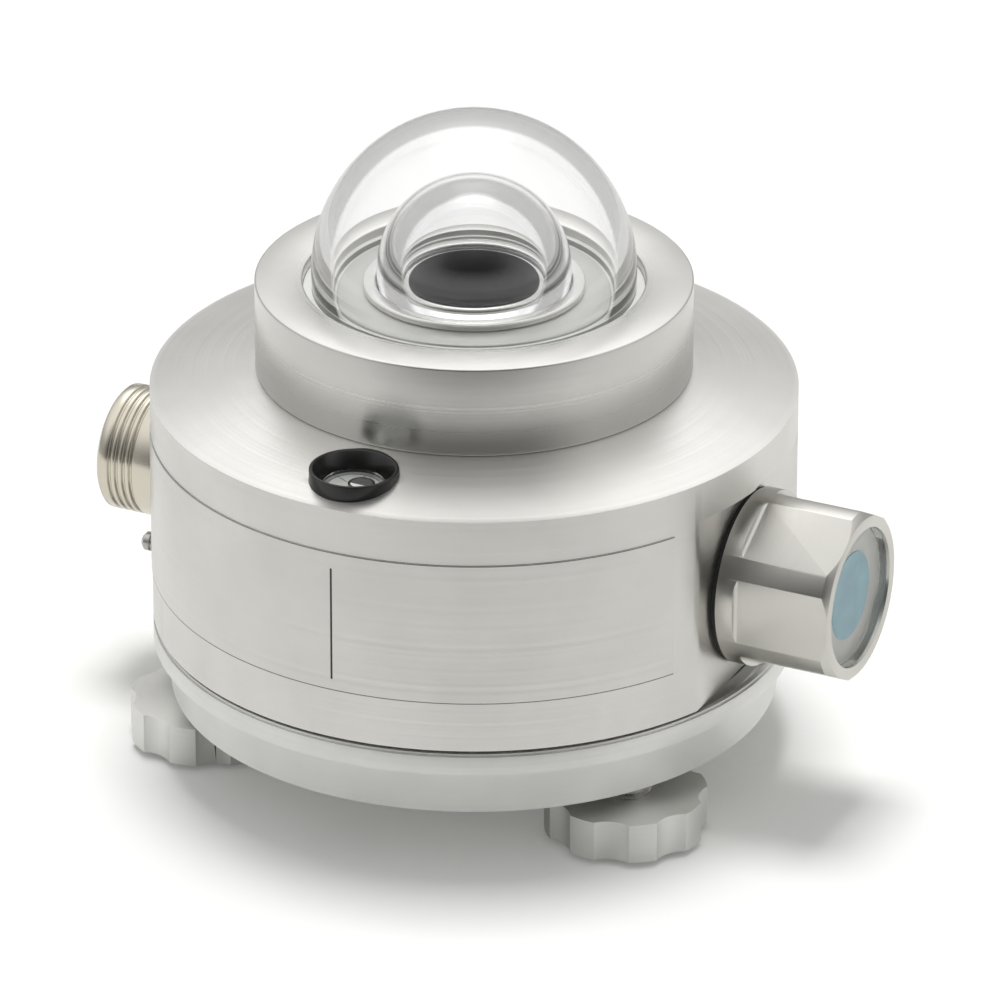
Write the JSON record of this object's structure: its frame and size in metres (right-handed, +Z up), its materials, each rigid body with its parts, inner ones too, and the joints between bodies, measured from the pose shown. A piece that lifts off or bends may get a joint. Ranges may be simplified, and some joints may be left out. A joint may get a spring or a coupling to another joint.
{
  "type": "pyranometer",
  "caption": "Pyranometer: round aluminium housing, two glass domes over a black sensor, bubble level, desiccant holder, round connector and levelling feet.",
  "frame": {"origin": "mouth of the mounting thread in the middle of the base's underside", "axes": "+Z up through the domes, +X towards the desiccant holder, -X towards the connector, -Y towards the bubble level"},
  "size_m": [0.1268, 0.1001, 0.1038],
  "materials": {
    "anodised_aluminium": "clear anodised, fine turned satin",
    "cast_aluminium": "clear anodised, bead blasted",
    "turned_aluminium": "clear anodised, turned",
    "stainless_steel": "turned",
    "nickel_plate": "warm satin nickel plate",
    "gold_plate": "gold plated",
    "thermopile_brass": "matt",
    "dome_glass": "polished optical glass",
    "level_acrylic": "clear acrylic",
    "level_liquid": "clear liquid",
    "window_acrylic": "clear acrylic",
    "white_deck": "satin white",
    "bright_ring": "bright turned",
    "absorber_black": "matt black absorber coating",
    "seal_rubber": "black rubber",
    "clear_bond": "translucent silicone",
    "black_plastic": "gloss black moulded",
    "insert_plastic": "matt black moulded",
    "green_plastic": "moulded",
    "circuit_board": "solder resist",
    "amber_resin": "dipped resin",
    "red_wire": "sleeved wire",
    "blue_wire": "sleeved wire",
    "label_foil": "satin foil",
    "indicator_blue": "pale blue card",
    "white_card": "white card",
    "bag_paper": "white woven paper",
    "foot_rubber": "dark grey rubber"
  },
  "bodies": {
    "body": {"housing": "anodised_aluminium", "base": "cast_aluminium", "base_seal": "seal_rubber", "base_screws": "stainless_steel", "label": "label_foil", "dome_ring": "anodised_aluminium", "dome_ring_seal": "seal_rubber", "dome_ring_screws": "stainless_steel", "outer_dome": "dome_glass", "outer_dome_bond": "clear_bond", "sensor_deck": "white_deck", "deck_screws": "stainless_steel", "inner_dome_ring": "bright_ring", "inner_dome": "dome_glass", "inner_dome_bond": "clear_bond", "sensor_pedestal": "white_deck", "thermopile": "thermopile_brass", "absorber": "absorber_black", "thermistor": "amber_resin", "sensor_wires": "red_wire", "level_cup": "black_plastic", "level_vial": "level_acrylic", "level_liquid": "level_liquid", "level_lens": "level_acrylic", "terminal_board": "circuit_board", "board_spacers": "stainless_steel", "board_screws": "stainless_steel", "terminal_blocks": "green_plastic", "connector_shell": "nickel_plate", "connector_insert": "insert_plastic", "connector_pins": "gold_plate", "connector_gasket": "seal_rubber", "connector_nut": "nickel_plate", "connector_wires": "blue_wire", "screen_stud": "stainless_steel", "fixed_foot": "turned_aluminium"},
    "seal": {"holder_seal": "seal_rubber"},
    "holder": {"desiccant_holder": "anodised_aluminium", "indicator_window": "window_acrylic", "humidity_indicator": "indicator_blue", "indicator_card": "white_card", "desiccant_bags": "bag_paper", "bag_screen": "stainless_steel"},
    "pad_right": {"foot_pad_right": "foot_rubber"},
    "knob_right": {"foot_screw_right": "stainless_steel", "foot_knob_right": "turned_aluminium"},
    "pad_left": {"foot_pad_left": "foot_rubber"},
    "knob_left": {"foot_screw_left": "stainless_steel", "foot_knob_left": "turned_aluminium"}
  },
  "joints": [
    {"name": "foot_right_lift", "type": "slide", "parent": "body", "child": "pad_right", "axis": [0, 0, -1], "range_m": [-0.002, 0.004]},
    {"name": "foot_right_turn", "type": "hinge", "parent": "pad_right", "child": "knob_right", "pos_m": [0.03594, -0.02075, 0], "axis": [0, 0, -1], "range_deg": [-576, 1152]},
    {"name": "foot_left_lift", "type": "slide", "parent": "body", "child": "pad_left", "axis": [0, 0, -1], "range_m": [-0.002, 0.004]},
    {"name": "foot_left_turn", "type": "hinge", "parent": "pad_left", "child": "knob_left", "pos_m": [-0.03594, -0.02075, 0], "axis": [0, 0, -1], "range_deg": [-576, 1152]},
    {"name": "holder_travel", "type": "slide", "parent": "body", "child": "seal", "axis": [1, 0, 0], "range_m": [0, 0.009]},
    {"name": "holder_turn", "type": "hinge", "parent": "seal", "child": "holder", "pos_m": [0.05, 0, 0.027], "axis": [1, 0, 0], "range_deg": [0, 2160]}
  ],
  "couplings": [
    {"joint": "foot_right_turn", "follows": "foot_right_lift", "rad_per_m": 5026.5},
    {"joint": "foot_left_turn", "follows": "foot_left_lift", "rad_per_m": 5026.5},
    {"joint": "holder_turn", "follows": "holder_travel", "rad_per_m": 4188.7}
  ]
}
